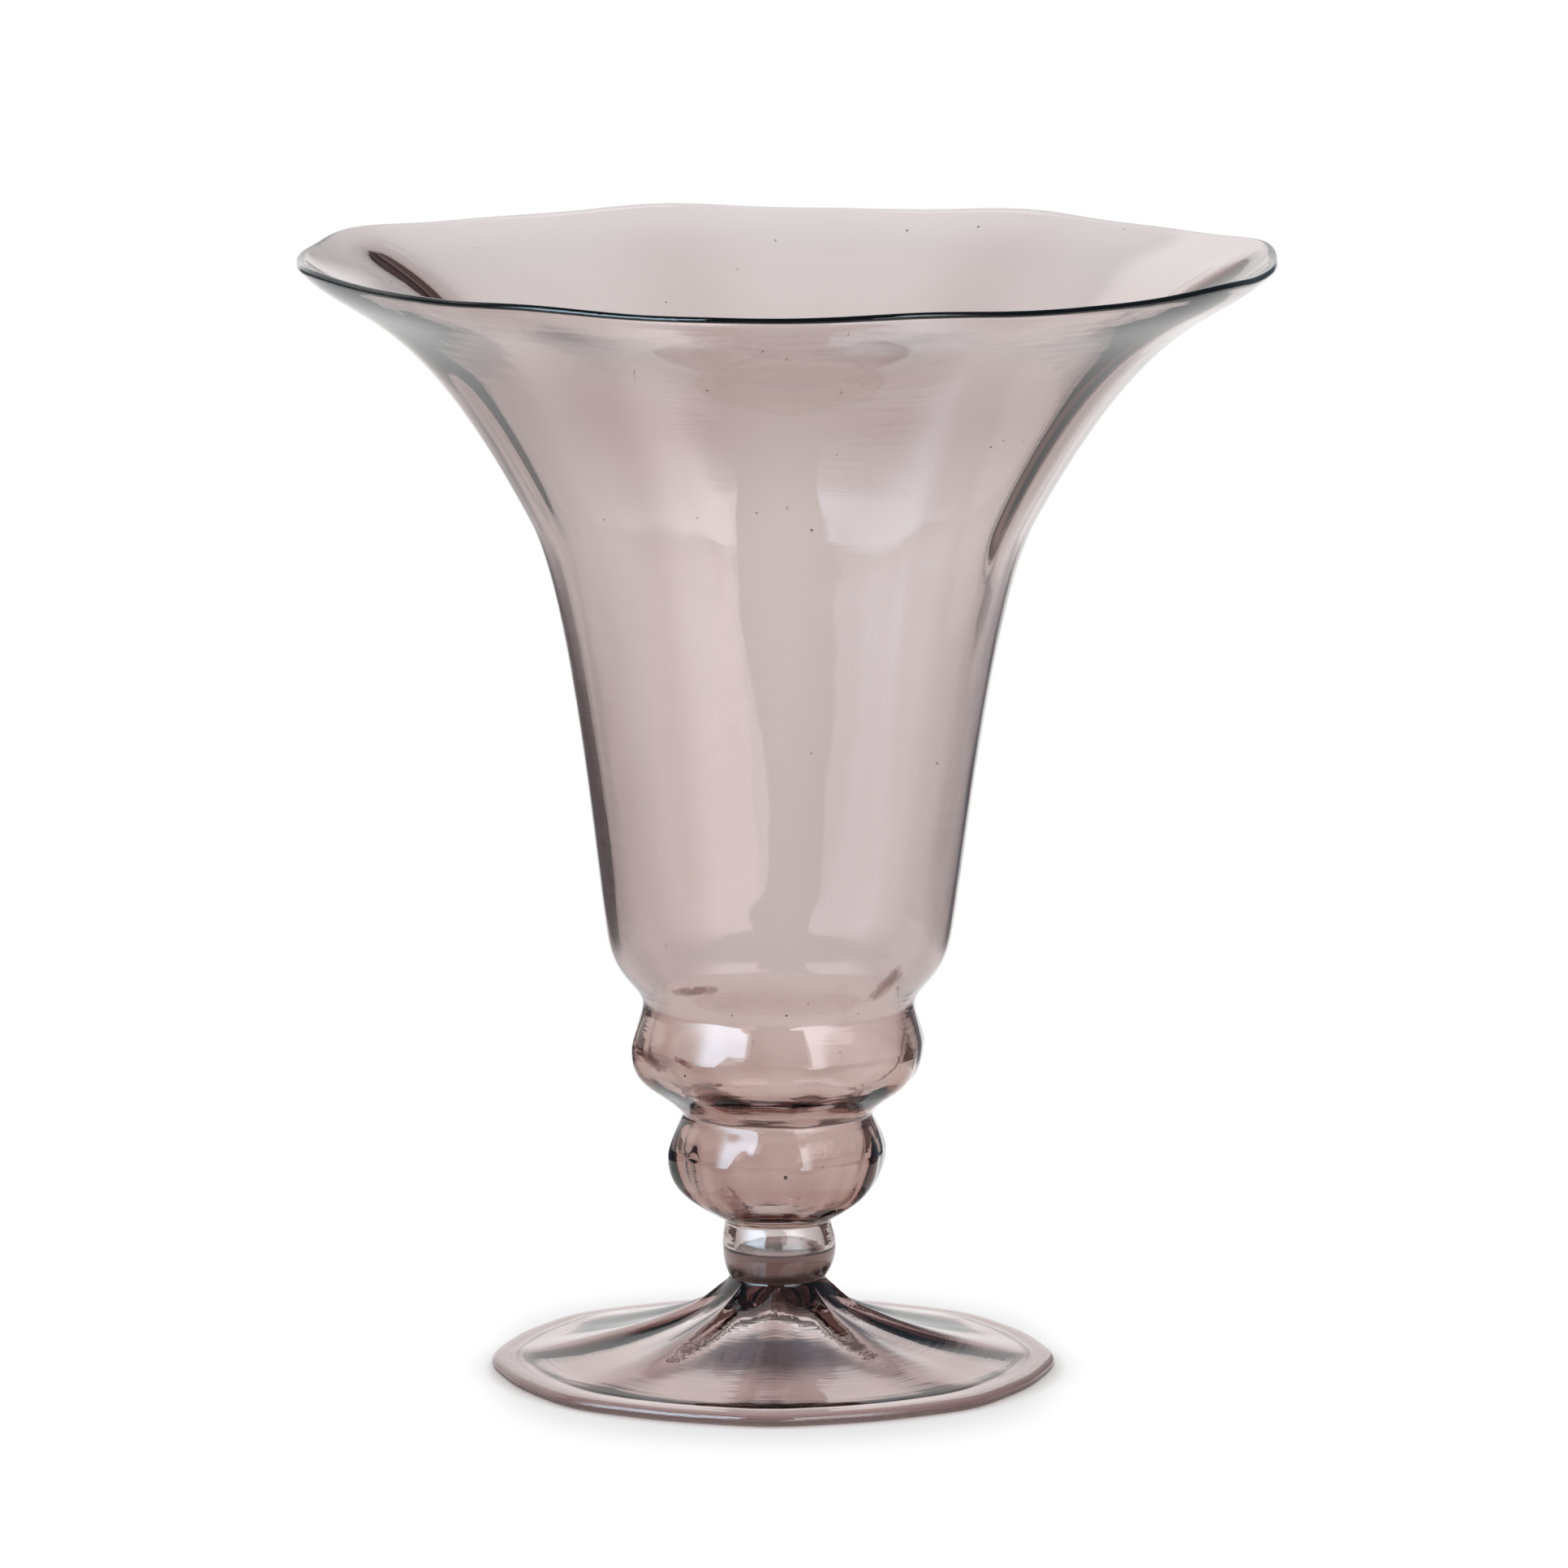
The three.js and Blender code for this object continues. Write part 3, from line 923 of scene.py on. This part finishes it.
def lay_table():
    """A round of white table, with shadow painted into its colour round and under the foot, which
    turns plain white before its edge.
    """
    table = bmesh.new()
    bmesh.ops.create_circle(table, cap_ends=True, segments=96, radius=TABLE_RADIUS)
    bmesh.ops.translate(table, vec=(0, 0, -0.0001), verts=table.verts[:])
    mesh = bpy.data.meshes.new("table")
    table.to_mesh(mesh)
    table.free()
    piece = bpy.data.objects.new("table", mesh)
    bpy.context.scene.collection.objects.link(piece)
    material = bpy.data.materials.new("white_table")
    material.use_nodes = True
    nodes, links = material.node_tree.nodes, material.node_tree.links
    nodes.clear()
    out = nodes.new("ShaderNodeOutputMaterial")
    matt = nodes.new("ShaderNodeBsdfDiffuse")
    matt.inputs["Color"].default_value = (0.8, 0.8, 0.8, 1)
    base = nodes.new("ShaderNodeEmission")
    base.inputs["Strength"].default_value = 0.12
    both = nodes.new("ShaderNodeAddShader")
    links.new(matt.outputs[0], both.inputs[0])
    links.new(base.outputs[0], both.inputs[1])
    plain = nodes.new("ShaderNodeEmission")
    place = nodes.new("ShaderNodeTexCoord")
    centred = nodes.new("ShaderNodeMapping")
    centred.inputs["Location"].default_value = (LEAN_RIGHT * MM, 0, 0)
    links.new(place.outputs["Object"], centred.inputs["Vector"])
    length = nodes.new("ShaderNodeVectorMath")
    length.operation = "LENGTH"
    links.new(centred.outputs[0], length.inputs[0])
    away = length.outputs["Value"]
    split = nodes.new("ShaderNodeSeparateXYZ")
    links.new(centred.outputs[0], split.inputs[0])
    ahead = number(nodes, links, "ABSOLUTE", number(nodes, links, "DIVIDE", split.outputs[1], away))
    reach = ramp(nodes, links, ahead, 0.3, 1.0, PAINTED_SHADOW_END_ASIDE, PAINTED_SHADOW_END_AHEAD)
    # A soft shadow painted into the table's colour round the foot, reaching further ahead than
    # aside
    painted_shadow = ramp(nodes, links, away, PAINTED_SHADOW_START, reach, 0.22, 0.0)
    painted_shadow_tone = blend_colours(nodes, links, painted_shadow, WHITE, (0.0, 0.0, 0.0))
    # A shadow painted where the table is seen through the foot, darkest under the collar
    under = ramp(nodes, links, away, *UNDER_FOOT, 1.0, 0.0)
    dim = ramp(nodes, links, away, *UNDER_COLLAR, 1.0, 0.0)
    painted_shadow_below = blend_colours(nodes, links, dim, FOOT_SHADOW_PAINT, COLLAR_SHADOW_PAINT)
    seen_under = blend_colours(nodes, links, under, WHITE, painted_shadow_below)
    path = nodes.new("ShaderNodeLightPath")
    seen_through = number(nodes, links, "GREATER_THAN", path.outputs["Transmission Depth"], 0.5)
    links.new(blend_colours(nodes, links, seen_through, painted_shadow_tone, seen_under), plain.inputs["Color"])
    far = ramp(nodes, links, away, *TURNS_WHITE)
    share = number(nodes, links, "MAXIMUM", far, seen_through)
    mix = nodes.new("ShaderNodeMixShader")
    links.new(share, mix.inputs[0])
    links.new(both.outputs[0], mix.inputs[1])
    links.new(plain.outputs[0], mix.inputs[2])
    links.new(mix.outputs[0], out.inputs["Surface"])
    mesh.materials.append(material)


def place_camera():
    """The camera of the photograph, fitted to its rim and foot ellipses."""
    lens = bpy.data.cameras.new("camera")
    camera = bpy.data.objects.new("camera", lens)
    bpy.context.scene.collection.objects.link(camera)
    lens.sensor_width = 36
    lens.lens = 243.5
    lens.clip_start, lens.clip_end = 0.05, 30
    camera.location = (-0.0007, -2.797, 0.615)
    camera.rotation_euler = (math.radians(80.74), 0, 0)
    bpy.context.scene.camera = camera


light_the_studio()
lay_table()
place_camera()

scene = bpy.context.scene
scene.view_settings.view_transform = "Standard"
scene.cycles.max_bounces = 32
scene.cycles.glossy_bounces = 16
scene.cycles.transmission_bounces = 32
scene.cycles.transparent_max_bounces = 32
